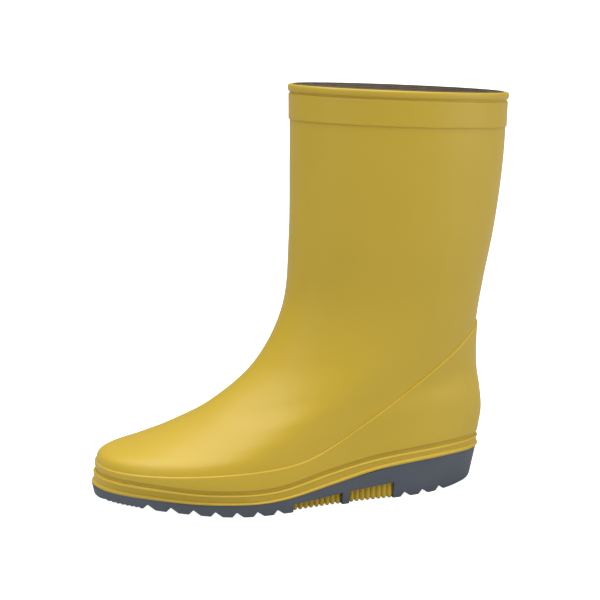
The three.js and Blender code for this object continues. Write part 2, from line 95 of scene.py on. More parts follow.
print(len(SECTIONS), "sections, the feather line", SECTIONS[0][0] - SECTIONS[0][2], "mm long")

# %% [markdown]
# ### Smooth lines
# A side view of the boot is ruled by four lines: the feather line, the groove over the foxing,
# the tread and the ridge of the side panel. The first three are smooth curves through a few
# heights. The ridge is level over the toes and then climbs, so a formula with a soft knee
# gives it with four numbers.

# %% Smooth lines of the side view
RIDGE_LEVEL, RIDGE_SOFTNESS, RIDGE_SLOPE, RIDGE_FROM = 30.2, 7.5, 0.62, 134


def through_rows(rows, t):
    """Uniform Catmull-Rom through equally spaced rows, t from 0 to 1."""
    rows = np.asarray(rows, float)
    if rows.ndim == 1:
        return through_rows(rows[:, None], t)[..., 0]
    last = len(rows) - 1
    place = np.clip(np.asarray(t, float), 0, 1) * last
    i = np.minimum(place.astype(int), last - 1)
    f = (place - i)[..., None]
    p = np.vstack([2 * rows[0] - rows[1], rows, 2 * rows[-1] - rows[-2]])
    p0, p1, p2, p3 = p[i], p[i + 1], p[i + 2], p[i + 3]
    bend = (2 * p0 - 5 * p1 + 4 * p2 - p3) * f**2
    twist = (-p0 + 3 * p1 - 3 * p2 + p3) * f**3
    return 0.5 * (2 * p1 + (p2 - p0) * f + bend + twist)


def sole_line(x):
    return through_rows(SOLE_KNOTS, np.asarray(x) / SOLE_SPAN)


def groove_line(x):
    """Middle of the groove between the foxing and the raised panel."""
    return sole_line(x) + through_rows(GROOVE_KNOTS, np.asarray(x) / SOLE_SPAN)


def tread_line(x):
    return through_rows(SPRING_KNOTS, (np.asarray(x) - SPRING_FROM) / SPRING_SPAN)


def ridge_line(x):
    """Upper edge of the raised panel: level over the forefoot, then climbing to the heel."""
    climb = RIDGE_SLOPE * (RIDGE_FROM - np.asarray(x)) / RIDGE_SOFTNESS
    return RIDGE_LEVEL + RIDGE_SOFTNESS * np.log1p(np.exp(climb))


print("the ridge climbs from %.0f mm over the toes to %.0f mm at the heel"
      % (ridge_line(260), ridge_line(0)))

# %% [markdown]
# ### Points and normals
# A point of the last is named by two numbers, the turn round the boot and the level between
# the feather line and the rim. Its normal comes from two small steps, one round and one up.
# Working with whole arrays instead of single points keeps this quick.

# %% Points and normals of the last
def on_last(turn, level):
    """Points of the last: turn 0 is the toe, a quarter turn the outer side; level 0 to 1."""
    turn, level = np.broadcast_arrays(np.asarray(turn, float), np.asarray(level, float))
    row = np.moveaxis(through_rows(SECTIONS, level), -1, 0)
    front_x, front_z, back_x, back_z, belly, outer, inner, full_f, full_b, share, swing = row
    middle = back_x + (front_x - back_x) * belly
    cos, sin = np.cos(turn), np.sin(turn)
    full = np.where(cos >= 0, full_f, full_b)
    reach = np.where(cos >= 0, front_x - middle, middle - back_x)
    x = middle + np.sign(cos) * reach * np.abs(cos) ** (2 / full)
    waist = np.exp(-(((x - WAIST_AT) / WAIST_REACH) ** 2)) * share
    waist = 1 - waist * np.where(sin >= 0, WAIST_OUTER, WAIST_INNER)
    y = np.sign(sin) * np.where(sin >= 0, outer, inner) * np.abs(sin) ** (2 / full) * waist
    forward = np.clip((x - middle) / (front_x - middle), 0, 1)
    y = y + swing * forward**2
    z = back_z + (front_z - back_z) * (x - back_x) / (front_x - back_x) + share * sole_line(x)
    return np.stack([x, y, z], -1)


def normals(turn, level):
    """Outward normals of the last, level at both ends so that edges stay square."""
    step = 0.003
    around = on_last(turn + step, level) - on_last(turn - step, level)
    above = on_last(turn, np.minimum(level + step, 1))
    up = above - on_last(turn, np.maximum(level - step, 0))
    n = np.cross(around, up)
    flat = np.broadcast_to((level <= 0) | (level >= 1), n.shape[:-1])
    n[flat, 2] = 0
    return n / np.linalg.norm(n, axis=-1, keepdims=True)


AROUND = 384
TURNS = np.arange(AROUND) * 2 * math.pi / AROUND
BEAD_STANDS = 1.3        # the rim bead is the widest thing at the back and on the inner side
_, _, rim_back_x, _, _, _, rim_inner, *_ = SECTIONS[-1]
heel_to_origin = np.array([
    cad_low.x / MM - (rim_back_x - BEAD_STANDS), cad_low.y / MM + rim_inner + BEAD_STANDS, 0])
print("the heel lies", np.round(heel_to_origin, 2), "mm from the origin")

# %% [markdown]
# ## Measuring along the last
# The real bands are laid so many millimetres from the feather line or from the rim, measured
# over the curved rubber. A table of the length along each upward line turns those millimetres
# into levels, so a 16 mm band is 16 mm wide everywhere, on the flat side and round the toe.

# %% Lengths along the upward lines
TABLE_ROWS = 601
TABLE_LEVELS = np.linspace(0, 1, TABLE_ROWS)
table_points = on_last(TURNS[None], TABLE_LEVELS[:, None])
steps = np.linalg.norm(np.diff(table_points, axis=0), axis=2)
table_length = np.vstack([np.zeros(AROUND), np.cumsum(steps, axis=0)])
full_length = table_length[-1]


def length_where(height):
    """For every upward line, the length at which it crosses the side-view line height(x)."""
    gap = table_points[..., 2] - height(table_points[..., 0])
    out = np.empty(AROUND)
    for j in range(AROUND):
        k = int(np.argmax(gap[:, j] > 0))
        a, b = gap[k - 1, j], gap[k, j]
        out[j] = np.interp(0, [a, b], table_length[k - 1:k + 1, j]) if k else 0
    return out


def at_length(length, offset):
    """Points at these lengths along the upward lines, lifted off the last by offset."""
    length, offset = np.broadcast_arrays(np.asarray(length, float), np.asarray(offset, float))
    level = np.empty(length.shape)
    for j in range(AROUND):
        level[..., j] = np.interp(length[..., j], table_length[:, j], TABLE_LEVELS)
    return on_last(TURNS, level) + normals(TURNS, level) * offset[..., None]


print("length from feather line to rim: %.0f mm at the toe, %.0f mm at the heel"
      % (full_length[0], full_length[AROUND // 2]))

# %% [markdown]
# ## From rings to a mesh
# Every piece of the upper is a stack of rings. Joined in a loop they make a closed skin with
# an outside and an inside, which is what the real rubber is, and what a printer or a game
# engine wants. The helper also lays a map on the mesh, in metres round and along, so that a
# knit or a grain keeps its true size.

# %% Mesh helpers
SHARP_EDGE = 40          # degrees; a sharper fold than this stays a crisp edge
WELD, SLIVER = 1e-6, 1e-7


def into_frame(points):
    return (np.asarray(points, float).reshape(-1, 3) + heel_to_origin) * MM


def finish_mesh(name, verts, faces, uvs, sharp=SHARP_EDGE):
    """Makes the object; uvs holds one (u, v) for each corner of each face."""
    mesh = bpy.data.meshes.new(name)
    mesh.from_pydata(verts.tolist(), [], faces)
    layer = mesh.uv_layers.new(name="laid_flat")
    layer.data.foreach_set("uv", np.asarray(uvs, np.float32).ravel())
    bm = bmesh.new()
    bm.from_mesh(mesh)
    bmesh.ops.remove_doubles(bm, verts=bm.verts, dist=WELD)
    bmesh.ops.dissolve_degenerate(bm, edges=bm.edges, dist=SLIVER)
    bmesh.ops.recalc_face_normals(bm, faces=bm.faces)
    bm.to_mesh(mesh)
    bm.free()
    mesh.polygons.foreach_set("use_smooth", [True] * len(mesh.polygons))
    mesh.set_sharp_from_angle(angle=math.radians(sharp))
    obj = bpy.data.objects.new(name, mesh)
    bpy.context.scene.collection.objects.link(obj)
    return obj


def ring_mesh(name, rings):
    """A closed skin over rings of points, shape (rings, around, 3), in mm from the heel."""
    rings = np.asarray(rings, float)
    rows, around = rings.shape[:2]
    run_v = np.linalg.norm(np.diff(rings, axis=0), axis=2).mean(1)
    v = np.concatenate([[0], np.cumsum(run_v)]) * MM
    widest = np.linalg.norm(rings - np.roll(rings, -1, 1), axis=2).sum(1).max()
    u = np.arange(around + 1) * widest / around * MM
    faces, uvs = [], []
    for k in range(rows):
        n = (k + 1) % rows
        v1 = v[n] if n else v[-1] + np.linalg.norm(rings[0, 0] - rings[-1, 0]) * MM
        for j in range(around):
            m = (j + 1) % around
            faces.append((k * around + j, k * around + m, n * around + m, n * around + j))
            uvs += [(u[j], v[k]), (u[j + 1], v[k]), (u[j + 1], v1), (u[j], v1)]
    return finish_mesh(name, into_frame(rings), faces, uvs)


def report(obj):
    size = [round(v / MM, 1) for v in obj.dimensions]
    print(f"{obj.name}: {len(obj.data.polygons)} faces, {size} mm")
    return obj


print("a ring has", AROUND, "points, and ring 0 of the last starts at",
      into_frame(on_last(0, 0))[0].round(3), "m")

# %% [markdown]
# ## The rubber skin
# The leg and foot are one sheet of rubber about two millimetres thick. Real rubber that has
# left the mould is never quite true, so the skin gets a slow swell of up to a quarter of a
# millimetre, far too little to see as a bump but enough to soften a highlight.

# %% Leg and foot skin
SHELL_WALL = 2.0
SKIN_STOPS = 0.9         # the skin ends this far under the crest of the rim
SWELL = 0.16


def slow_swell(points):
    """A gentle unevenness over the skin, in mm."""
    x, y, z = np.moveaxis(points, -1, 0)
    wave = np.sin(x / 31 + 0.7) * np.sin(z / 43 + y / 37) + 0.6 * np.sin(z / 71 - x / 53 + 2)
    return SWELL * wave


def skin_rows(lengths, offset, swell=True):
    """Points at these lengths, lifted by offset and by the slow swell."""
    base = at_length(lengths, np.zeros(AROUND))
    lift = slow_swell(base) if swell else 0
    return at_length(lengths, offset + lift)


skin_length = full_length - SKIN_STOPS
outside = skin_rows(np.linspace(0, 1, 170)[:, None] * skin_length, 0)
inside = skin_rows(np.linspace(1, 0, 60)[:, None] * skin_length, -SHELL_WALL)
leg_skin = report(ring_mesh("leg_and_foot_skin", np.concatenate([outside, inside])))

# %% [markdown]
# ## Raised pieces on the skin
# The panel round the foot, the foxing, the welt bead and the band under the rim are the same
# kind of thing: a strip of rubber with a rounded edge. Each is given as a small profile, drawn
# in millimetres across the strip and off the skin, and swept round the boot. The profile
# starts and ends just under the skin, so that no gap can show.

# %% A strip with a profile
SUNK = -0.25             # where the underside of a strip lies, just inside the skin


def rounded_edge(size, lift, rising):
    """Profile points (share, shift, lift) of a round edge, rising or falling."""
    out = []
    for k in range(8):
        a = math.pi / 2 * k / 7
        out.append((size * (1 - math.cos(a)), lift * math.sin(a)))
    if rising:
        return [(0, s, d) for s, d in out]
    return [(1, -s, d) for s, d in reversed(out)]


def strip_rings(low, high, profile, swell=True):
    """Rings of a strip that runs from length low to length high on every upward line."""
    rings = []
    for share, shift, lift in profile:
        length = low + (high - low) * share + shift
        rings.append(skin_rows(length[None], lift, swell)[0])
    return np.array(rings)


def plain_profile(lift, low_edge, high_edge, across=12):
    """A flat strip with two round edges."""
    flat = [(k / across, low_edge * (1 - k / across) - high_edge * k / across, lift)
            for k in range(1, across)]
    start = [(0, 0, SUNK)] + rounded_edge(low_edge, lift, True)
    end = rounded_edge(high_edge, lift, False) + [(1, 0, SUNK)]
    under = [(1 - k / across, 0, SUNK) for k in range(1, across)]
    return start + flat + end + under


print("a plain strip is drawn with", len(plain_profile(1, 0.5, 0.5)), "points across")

# %% [markdown]
# ### Side panel
# The panel is a little over a millimetre thick. Its lower edge stops short of the foxing and
# leaves a groove, and its upper edge is the fine line that runs level over the toes and then
# climbs to the back of the heel. The edge faces up, so it catches the light: it is rounded.

# %% Side panel
GROOVE_WIDTH = 2.4
PANEL_LIFT = 1.2
panel_low = length_where(lambda x: groove_line(x) + GROOVE_WIDTH / 2)
panel_high = length_where(ridge_line)
side_panel = report(ring_mesh(
    "side_panel",
    strip_rings(panel_low, panel_high, plain_profile(PANEL_LIFT, 0.8, 1.1, across=60))))

# %% [markdown]
# ### Foxing and welt bead
# Two bands close the joint between upper and sole. The foxing is a flat band with a rounded
# top. The welt bead under it stands out furthest of all and hides the edge of the sole.

# %% Foxing and welt bead
FOXING_FROM = 2.3
WELT_LIFT = 2.75
foxing_low = length_where(lambda x: sole_line(x) + FOXING_FROM)
foxing_high = length_where(lambda x: groove_line(x) - GROOVE_WIDTH / 2)
FOXING_TUCK = -1.4                               # its foot goes down behind the welt bead
foxing_profile = [(0, FOXING_TUCK, SUNK), (0, FOXING_TUCK, 1.3)]
foxing_profile += [(k / 8, 0.1 * (1 - k / 8) - 1.9 * k / 8, 1.35 + 0.3 * k / 8) for k in range(9)]
foxing_profile += [(1, -s, d) for s, d in (
    (1.65, 1.75), (1.45, 1.86), (1.2, 1.88), (0.9, 1.78), (0.6, 1.58), (0.3, 1.28), (0.1, 0.9),
    (0, 0.4))]
foxing_profile += [(1, 0, SUNK)] + [(1 - k / 4, 0, SUNK) for k in range(1, 4)]
foxing = report(ring_mesh("foxing", strip_rings(foxing_low, foxing_high, foxing_profile, False)))

WELT_CENTRE, WELT_FLANK, WELT_BELOW, WELT_ABOVE = 0.95, 1.3, 1.15, 1.75
welt_profile = [(0, -0.2, SUNK)]
for k in range(15):
    a = math.pi * (k / 14 - 0.5)
    half = WELT_BELOW if a < 0 else WELT_ABOVE
    lift = WELT_FLANK + (WELT_LIFT - WELT_FLANK) * math.cos(a)
    welt_profile.append((0, WELT_CENTRE + half * math.sin(a), lift))
welt_profile += [(0, 2.7, SUNK), (0, 1.2, SUNK)]
feather = np.zeros(AROUND)
welt = report(ring_mesh("welt_bead_round", strip_rings(feather, feather, welt_profile, False)))

# %% [markdown]
# ### Band and bead at the rim
# The rim of a boot takes the wear of being pulled on, so it carries a flat band and, above a
# narrow groove, a thick rolled bead. The bead turns over the edge of the skin, and the lining
# comes up to it from the inside, so that only cloth shows there.

# %% Band and bead
BAND_LIFT = 0.75
BAND_LOW, BAND_HIGH = 23.4, 6.4
band = report(ring_mesh("rim_band", strip_rings(
    full_length - BAND_LOW, full_length - BAND_HIGH, plain_profile(BAND_LIFT, 0.7, 0.9))))

BEAD_HEIGHT = 5.1
CREST_OUT, CREST_DOWN, CREST_HALF, CREST_RISE = -0.55, -1.95, 1.75, 1.6
rim_axis = at_length(full_length[None], 0)[0]
rim_out = normals(TURNS, np.ones(AROUND))
rim_up = on_last(TURNS, 1.0) - on_last(TURNS, 0.99)
rim_up /= np.linalg.norm(rim_up, axis=1, keepdims=True)
bead_outline = [(-0.2, -BEAD_HEIGHT), (0.45, -BEAD_HEIGHT), (0.85, -BEAD_HEIGHT + 0.25)]
bead_outline += [(1.12, -BEAD_HEIGHT + 0.8), (1.22, -BEAD_HEIGHT + 1.6), (1.26, -3.2), (1.2, -2.2)]
for k in range(1, 10):                                   # over the top, outside to inside
    a = math.pi * k / 10
    bead_outline.append((CREST_OUT + CREST_HALF * math.cos(a),
                         CREST_DOWN + CREST_RISE * math.sin(a)))
bead_outline += [(-2.35, -2.2), (-2.3, -2.8), (-1.8, -2.8), (-0.6, -3.4)]
bead_rings = np.array([rim_axis + rim_out * d + rim_up * h for d, h in bead_outline])
rim_bead = report(ring_mesh("rim_bead_rolled", bead_rings))

# %% [markdown]
# ## Lining
# Inside is a knitted sock, bonded to the rubber. It comes in two parts: a tube for the leg,
# and a foot that is closed under the sole. The tube is seamed down the back, and its lower end
# goes on a little behind the foot part. Both have a real thickness, so the cut edge at the rim
# looks like cloth and not like paint.

# %% Leg lining
LINING_IN, LINING_WALL = -2.3, 1.2
SEAM_HEIGHT = 138.3
LAP = 2.5                                        # the tube goes on down behind the sock
SEAM_RIDGE, SEAM_HALF_TURN = 0.5, 0.022
LINING_STOPS = 0.05                              # just under the crest of the rim
seam_length = length_where(lambda x: np.full_like(x, SEAM_HEIGHT - LAP))
lining_top = full_length - LINING_STOPS
back_seam = SEAM_RIDGE * np.exp(-((np.abs(TURNS - math.pi) / SEAM_HALF_TURN) ** 2))
inner_rows = np.linspace(0, 1, 110)[:, None]
outer_rows = np.linspace(1, 0, 24)[:, None]
leg_in = at_length(seam_length + inner_rows * (lining_top - seam_length),
                   LINING_IN - LINING_WALL - back_seam)
leg_out = at_length(seam_length + outer_rows * (lining_top - seam_length), LINING_IN)
leg_lining = report(ring_mesh("leg_lining_knit", np.concatenate([leg_in, leg_out])))

# %% [markdown]
# ### Closing a floor
# A sock, a sole and a pad all need a floor across a ring of points. Each point is joined to
# its twin on the other side by a row of points, so the floor follows the curve of the sole. A
# single flat face would be quicker, but it could not bend.

# %% Floor across a ring
def cross_rows(left, right, across):
    """Points from left to right at equal shares, shape (across + 1, n, 3)."""
    t = np.linspace(0, 1, across + 1)[:, None, None]
    return left[None] * (1 - t) + right[None] * t


def floor_faces(half, start, across, flip):
    """Faces of a floor across a ring: joins each point to its twin on the other side."""
    faces = []
    for j in range(half):
        for k in range(across):
            a, b = start(j, k), start(j, k + 1)
            c, d = start(j + 1, k + 1), start(j + 1, k)
            face = list(dict.fromkeys((a, d, c, b) if flip else (a, b, c, d)))
            if len(face) > 2:
                faces.append(face)
    return faces


def bag_mesh(name, rings, across, sharp=SHARP_EDGE):
    """Rings with a floor across the first and the last: a sock or an insole."""
    rings = np.asarray(rings, float)
    rows, around = rings.shape[:2]
    half = around // 2
    verts = [into_frame(rings)]
    faces, uvs = [], []
    for k in range(rows - 1):
        for j in range(around):
            m = (j + 1) % around
            faces.append((k * around + j, k * around + m, (k + 1) * around + m,
                          (k + 1) * around + j))
    count = rows * around
    for ring_index, flip in ((0, False), (rows - 1, True)):
        base = ring_index * around
        ring = rings[ring_index]
        twins = [(around - j) % around for j in range(half + 1)]
        mids = cross_rows(ring[:half + 1], ring[twins], across)[1:-1]
        verts.append(into_frame(mids))
        first = count

        def index(j, k, base=base, first=first, twins=twins):
            if j in (0, half) or k == 0:
                return base + j
            return base + twins[j] if k == across else first + (k - 1) * (half + 1) + j

        faces += floor_faces(half, index, across, flip)
        count += (across - 1) * (half + 1)
    points = np.concatenate(verts)
    for face in faces:
        uvs += [(points[i][0], points[i][1] + points[i][2]) for i in face]
    return finish_mesh(name, points, faces, uvs, sharp)


print("a floor is closed between", AROUND // 2 + 1, "points and their twins")

# %% [markdown]
# ### Foot of the lining
# The foot part is a bag: up the outside, over the edge and down the inside, with a floor at
# either end of that path. It stands on the board, so it starts a little above the feather line.

# %% Foot lining
SOCK_OUT, SOCK_WALL = -3.6, 1.0
BOARD_TOP = 1.8                                  # underside of the sock above the sole line
SOCK_STOPS = 0.4                                 # its edge lies under the seam of the two parts
sock_floor = length_where(lambda x: sole_line(x) + BOARD_TOP)
sock_high = length_where(lambda x: np.full_like(x, SEAM_HEIGHT - SOCK_STOPS))
sock_rows = np.linspace(0, 1, 90)[:, None]
sock_outer = at_length(sock_floor + sock_rows * (sock_high - sock_floor), SOCK_OUT)
inner_floor = sock_floor + SOCK_WALL
sock_inner = at_length(inner_floor + sock_rows[::-1] * (sock_high - inner_floor),
                       SOCK_OUT - SOCK_WALL)
sock_rings = np.concatenate([sock_outer, sock_inner])
foot_lining = report(bag_mesh("foot_lining_knit", sock_rings, across=10))

# %% [markdown]
# ## Insole
# The loose insole is a sheet of foam faced with brushed knit. It is cut a little smaller than
# the foot of the lining and its edges are slightly rounded by the knife. It is drawn in plan,
# as the outline of the sole grown inwards, because a flat piece has no levels to follow.

# %% Insole
INSOLE_INSET, INSOLE_FROM, INSOLE_WALL = 6.1, 3.1, 4.0
feather_ring = on_last(TURNS, np.zeros(AROUND))
feather_out = normals(TURNS, np.zeros(AROUND))


def plan_ring(offset, height):
    """The outline of the sole grown by offset, at height(x) above the ground."""
    ring = feather_ring + feather_out * np.asarray(offset)[..., None]
    ring[:, 2] = height(ring[:, 0])
    return ring


EDGE_ROUND = 0.9
LOW_ROUND = EDGE_ROUND / 2
insole_rings = []
for k in range(7):
    a = math.pi / 2 * k / 6
    inset = INSOLE_INSET + LOW_ROUND * (1 - math.sin(a))
    rise = INSOLE_FROM + LOW_ROUND * (1 - math.cos(a))
    insole_rings.append(plan_ring(-inset, lambda x, r=rise: sole_line(x) + r))
for k in range(9):
    a = math.pi / 2 * k / 8
    inset = INSOLE_INSET + EDGE_ROUND * (1 - math.cos(a))
    rise = INSOLE_FROM + INSOLE_WALL - EDGE_ROUND * (1 - math.sin(a))
    insole_rings.append(plan_ring(-inset, lambda x, r=rise: sole_line(x) + r))
insole = report(bag_mesh("insole_loose", insole_rings, across=24, sharp=60))

# %% [markdown]
# ### Where the foot has pressed
# The top of the insole is dished under the heel and, less, under the ball. Only its top points
# are lowered, so the underside still lies flat on the lining.

# %% Dishes of the insole
DISHES = [(0.8, 38, 0, 26, 22), (0.5, 185, -2, 30, 30)]      # depth, middle x, y, reach x, y
TOP_FACE = INSOLE_WALL - 0.05
deepest = 0
for vert in insole.data.vertices:
    x, y, z = np.array(vert.co) / MM - heel_to_origin
    if z - float(sole_line(x)) - INSOLE_FROM > TOP_FACE:
        dip = sum(depth * math.exp(-(((x - mx) / rx) ** 2) - ((y - my) / ry) ** 2)
                  for depth, mx, my, rx, ry in DISHES)
        vert.co.z -= dip * MM
        deepest = max(deepest, dip)
print("the deepest dish is", round(deepest, 2), "mm")

# %% [markdown]
# ## Sole
# The sole is moulded in a second colour. Seen from the side its edge tells the whole story:
# V-cut grooves run straight across, the toe has fine teeth, and two windows are left open in
# the waist. So the sole is described by that side profile, a list of corners, each rounded a
# little as a mould leaves it. The profile is drawn across the boot at every point of the
# outline. Cutting the grooves with booleans would give the same shape with a ragged mesh.
#
# Each V is steeper on its toe side than on its heel side. The teeth under the toe are small
# and even.

# %% Side profile of the tread
CLEAT_PITCH, CLEAT_DEPTH, CLEAT_STEEP, CLEAT_FLAT = 13.7, 3.4, 2.6, 4.8
FORE_FIRST, FORE_GROOVES, HEEL_FIRST, HEEL_GROOVES = 157.7, 7, 37.9, 3
TOE_TEETH, TOOTH_PITCH, TOOTH_DEPTH = 8, 2.4, 0.8
RIB_PITCH, RIB_MARGIN, REAR_RIBS, FRONT_RIBS, BAR_LENGTH = 3.9, 0.4, 8, 9, 5.1
WINDOW_FROM = 73.6
REAR_WINDOW = (WINDOW_FROM, WINDOW_FROM + REAR_RIBS * RIB_PITCH + 2 * RIB_MARGIN)
FRONT_WINDOW = (REAR_WINDOW[1] + BAR_LENGTH,
                REAR_WINDOW[1] + BAR_LENGTH + FRONT_RIBS * RIB_PITCH + 2 * RIB_MARGIN)
ROOF_REAR, ROOF_SLOPE = 11.7, 0.083
SOLE_EDGE, SOLE_DRAFT, TOE_EXTRA = 1.9, 0.2, 0.8
STEEP = 0.06                 # a wall that stands straight up still moves this far
FLAT_STEP, TOES_END = 2.5, 267
FIRST_TOOTH_AFTER, TOOTH_FLAT = 5, 0.42


def window_roof(x):
    return ROOF_REAR - ROOF_SLOPE * (x - REAR_WINDOW[0])


def tread_corners():
    """Corners (x, height, rounding) of the tread from heel to toe, seen from the side."""
    corners = []

    def flat_to(x):
        start = corners[-1][0] + FLAT_STEP if corners else 2
        corners.extend((s, float(tread_line(s)), 0) for s in np.arange(start, x - 1, FLAT_STEP))

    def groove(x):
        flat_to(x - CLEAT_FLAT)
        corners.append((x - CLEAT_FLAT, float(tread_line(x - CLEAT_FLAT)), 0.5))
        corners.append((x, float(tread_line(x)) + CLEAT_DEPTH, 0.5))
        corners.append((x + CLEAT_STEEP, float(tread_line(x + CLEAT_STEEP)), 0.4))

    def window(x0, x1):
        flat_to(x0)
        corners.append((x0, float(tread_line(x0)), 0.4))
        corners.append((x0 + STEEP, window_roof(x0), 0.5))
        corners.append((x1 - STEEP, window_roof(x1), 0.5))
        corners.append((x1, float(tread_line(x1)), 0.4))

    for k in range(HEEL_GROOVES):
        groove(HEEL_FIRST + k * CLEAT_PITCH)
    window(*REAR_WINDOW)
    window(*FRONT_WINDOW)
    for k in range(FORE_GROOVES):
        groove(FORE_FIRST + k * CLEAT_PITCH)
    first_tooth = FORE_FIRST + (FORE_GROOVES - 1) * CLEAT_PITCH + FIRST_TOOTH_AFTER
    for k in range(TOE_TEETH):
        x = first_tooth + k * TOOTH_PITCH
        corners.append((x - TOOTH_PITCH * TOOTH_FLAT, float(tread_line(x)), 0.2))
        corners.append((x, float(tread_line(x)) + TOOTH_DEPTH, 0.15))
    flat_to(TOES_END)
    return corners


print("corners of the tread's side view:", len(tread_corners()))

# %% [markdown]
# A mould leaves no knife edge, so each corner is cut by two points and eased by a third.

# %% Rounded profile
LONGEST_CUT = 0.45           # of the edge that it is cut from


def rounded(corners):
    """The same profile with each corner cut by its rounding: rows of x and height."""
    out = []
    pts = np.array([(c[0], c[1]) for c in corners])
    for i, (x, z, r) in enumerate(corners):
        if r == 0 or i in (0, len(corners) - 1):
            out.append((x, z))
            continue
        before, after = pts[i - 1] - pts[i], pts[i + 1] - pts[i]
        before *= min(r, LONGEST_CUT * np.linalg.norm(before)) / np.linalg.norm(before)
        after *= min(r, LONGEST_CUT * np.linalg.norm(after)) / np.linalg.norm(after)
        a, b = pts[i] + before, pts[i] + after
        out += [tuple(a), tuple(pts[i] * 0.5 + (a + b) * 0.25), tuple(b)]
    return np.array(out)


profile = rounded(tread_corners())
print("the tread's side profile has", len(profile), "points")

# %% [markdown]
# The outline has to be sampled exactly at the profile's corners, or the grooves would come
# out ragged. On a superellipse that is easy: the turn for a given x has a closed form. Near
# the heel and toe the outline turns the corner, and there even steps of turn are better.

# %% Outline points of the sole
front_x, _, back_x, _, belly, _, _, full_f, full_b, *_ = SECTIONS[0]
widest_x = back_x + (front_x - back_x) * belly


def turn_at(x):
    """The turn, on the outer side, where the feather line reaches x."""
    if x >= widest_x:
        return math.acos(min(1, ((x - widest_x) / (front_x - widest_x)) ** (full_f / 2)))
    return math.pi - math.acos(min(1, ((widest_x - x) / (widest_x - back_x)) ** (full_b / 2)))


HEEL_SWEEP, HEEL_STEP, TOE_SWEEP, TOE_STEP = 0.56, 0.035, 0.66, 0.03      # turns
TOE_END, NEAR_HEEL, NEAR_TURN = 265.0, 0.3, 0.006
heel_turns = math.pi - np.arange(0, HEEL_SWEEP, HEEL_STEP)
toe_turns = np.arange(0, TOE_SWEEP, TOE_STEP)
heel_end = on_last(heel_turns[-1], 0.0)[0]
in_middle = (profile[:, 0] > heel_end + NEAR_HEEL) & (profile[:, 0] < TOE_END)
middle_turns = np.array([turn_at(x) for x in profile[in_middle, 0]])
free = [t for t in toe_turns if np.abs(middle_turns - t).min() > NEAR_TURN]
side_turns = np.sort(np.concatenate([heel_turns, middle_turns, free]))[::-1]
nominal = on_last(side_turns, np.zeros(len(side_turns)))[:, 0]
tread_height = np.interp(nominal, profile[:, 0], profile[:, 1])
print("the sole has", len(side_turns), "stations from heel to toe")

# %% [markdown]
# Along the sides a station must keep its x when the wall moves in or out, or the grooves would
# bend. Round the heel and toe it moves square to the outline instead, and an ease between
# the two hides the change.

# %% Moving a station in and out
HEEL_TURNS_IN, TOE_TURNS_IN = (8, 26), (240, 258)
SHALLOWEST = 0.3         # keeps the sideways move short where the outline turns away


def ease(x, low, high):
    t = np.clip((x - low) / (high - low), 0, 1)
    return t * t * (3 - 2 * t)


def side_point(turns, offset):
    """Outline points moved out by offset; in the middle they keep their x."""
    level = np.zeros(len(turns))
    p, n = on_last(turns, level), normals(turns, level)
    ends = np.maximum(1 - ease(nominal, *HEEL_TURNS_IN), ease(nominal, *TOE_TURNS_IN))
    sideways = 1 / np.where(abs(n[:, 1]) < SHALLOWEST, SHALLOWEST, n[:, 1])
    straight = np.stack([np.zeros(len(turns)), sideways], 1)
    move = straight * (1 - ends[:, None]) + n[:, :2] * ends[:, None]
    return p[:, :2] + move * offset[:, None]


print("stations that keep their x:",
      int(((nominal > HEEL_TURNS_IN[1]) & (nominal < TOE_TURNS_IN[0])).sum()))

# %% [markdown]
# Each station is now a closed loop of points: across the top, down the outer wall, across the
# tread and up the inner wall. The wall leans in by a fifth of its height, as a mould needs,
# and the heel's bottom corner is well rounded. Two channels run lengthwise through the
# cleats, as on most such soles, so that water can leave.

# %% Walls of the sole
WALL_ROWS, CORNER_ROWS = 6, 6
SMALL_CORNER, HEEL_CORNER, HEEL_CORNER_FADES = 0.5, 4.2, (14, 46)
WINDOW_RISES, TOE_SPREADS = 4.5, (205, 245)
sole_top = sole_line(nominal)
tread_plain = tread_line(nominal)
in_window = tread_height > tread_plain + WINDOW_RISES
heel_corner = SMALL_CORNER + HEEL_CORNER * (1 - ease(nominal, *HEEL_CORNER_FADES))
corner_size = np.where(in_window, SMALL_CORNER, heel_corner)
corner_size = np.minimum(corner_size, (sole_top - tread_height) * 0.5)


def wall_rows(turns):
    """Rows down one wall of the sole, from the top edge to the tread."""
    rows = []
    bend = tread_height + corner_size
    for k in range(WALL_ROWS + 1):
        z = sole_top + (bend - sole_top) * k / WALL_ROWS
        rows.append((z, np.zeros(len(z))))
    for k in range(1, CORNER_ROWS + 1):
        a = math.pi / 2 * k / CORNER_ROWS
        rows.append((bend - corner_size * math.sin(a), corner_size * (1 - math.cos(a))))
    edge = SOLE_EDGE + TOE_EXTRA * ease(nominal, *TOE_SPREADS)
    out = []
    for z, cut in rows:
        offset = edge - SOLE_DRAFT * (sole_top - z) - cut
        out.append(np.column_stack([side_point(turns, offset), z]))
    return np.array(out)


outer_wall = wall_rows(side_turns)
inner_wall = wall_rows(2 * math.pi - side_turns)
print("the sole is %.1f mm wide at most" % (outer_wall[..., 1].max() - inner_wall[..., 1].min()))

# %% [markdown]
# The channels are two places across the tread where the rubber is thinner. They run only
# where there are cleats, under the heel and under the forefoot, and fade out at their ends.

# %% Tread and mesh of the sole
TOP_ACROSS = 6
CHANNEL_DEPTH = 2.2
CHANNELS = (0.32, 0.68)                                  # shares of the width
CHANNEL_MOUTH, CHANNEL_FLOOR = 0.035, 0.022              # half widths, as shares too
HEEL_CHANNEL, FORE_CHANNEL = ((28, 30), (70, 71)), ((152, 153), (236, 244))


def from_channel(s):
    """How far a share of the width lies from the nearer channel."""
    return min(abs(s - centre) for centre in CHANNELS)


